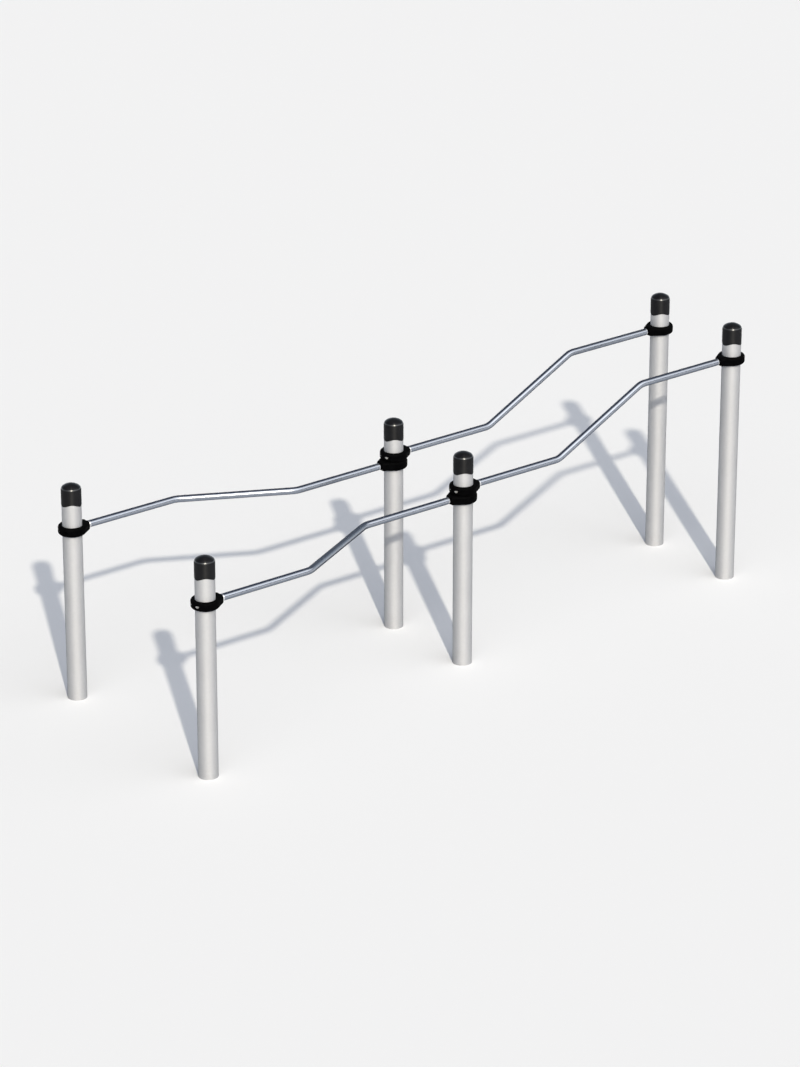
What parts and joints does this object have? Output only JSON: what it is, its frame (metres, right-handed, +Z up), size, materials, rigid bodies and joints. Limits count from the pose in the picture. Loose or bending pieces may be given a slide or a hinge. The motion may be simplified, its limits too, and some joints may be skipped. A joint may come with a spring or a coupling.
{
  "type": "parallel bars",
  "caption": "Outdoor parallel bars: twin handrails clamped to round posts, wide at the entry, narrowing to a walking lane and then rising to a higher level.",
  "frame": {"origin": "on the ground, midway between the two middle posts, which is the centre of the footprint", "axes": "+X along the lane from the wide entry to the tall end, +Y across the lane to the far rail, +Z up"},
  "size_m": [3.327, 1.143, 1.288],
  "materials": {
    "post_coating": "pale silver-grey coated steel tube, satin",
    "cap_plastic": "black moulded plastic, low sheen",
    "collar_coating": "casting with a matte black powder coat",
    "rail_steel": "stainless steel tube, finely ground to a bright satin",
    "fastener_steel": "bright stainless steel"
  },
  "bodies": {
    "root": {"post_entry_near": "post_coating", "post_entry_far": "post_coating", "post_middle_near": "post_coating", "post_middle_far": "post_coating", "post_high_near": "post_coating", "post_high_far": "post_coating", "cap_entry_near": "cap_plastic", "cap_entry_far": "cap_plastic", "cap_middle_near": "cap_plastic", "cap_middle_far": "cap_plastic", "cap_high_near": "cap_plastic", "cap_high_far": "cap_plastic", "collar_entry_near": "collar_coating", "collar_entry_far": "collar_coating", "collar_middle_near_lower": "collar_coating", "collar_middle_far_lower": "collar_coating", "collar_middle_near_upper": "collar_coating", "collar_middle_far_upper": "collar_coating", "collar_high_near": "collar_coating", "collar_high_far": "collar_coating", "rail_narrowing_near": "rail_steel", "rail_narrowing_far": "rail_steel", "rail_climbing_near": "rail_steel", "rail_climbing_far": "rail_steel", "end_plug_entry_near": "rail_steel", "end_plug_entry_far": "rail_steel", "end_plug_middle_near_lower": "rail_steel", "end_plug_middle_far_lower": "rail_steel", "end_plug_middle_near_upper": "rail_steel", "end_plug_middle_far_upper": "rail_steel", "end_plug_high_near": "rail_steel", "end_plug_high_far": "rail_steel", "rail_bolts": "fastener_steel", "rail_washers": "fastener_steel", "pinch_bolts": "fastener_steel", "pinch_nuts": "fastener_steel"}
  },
  "joints": []
}
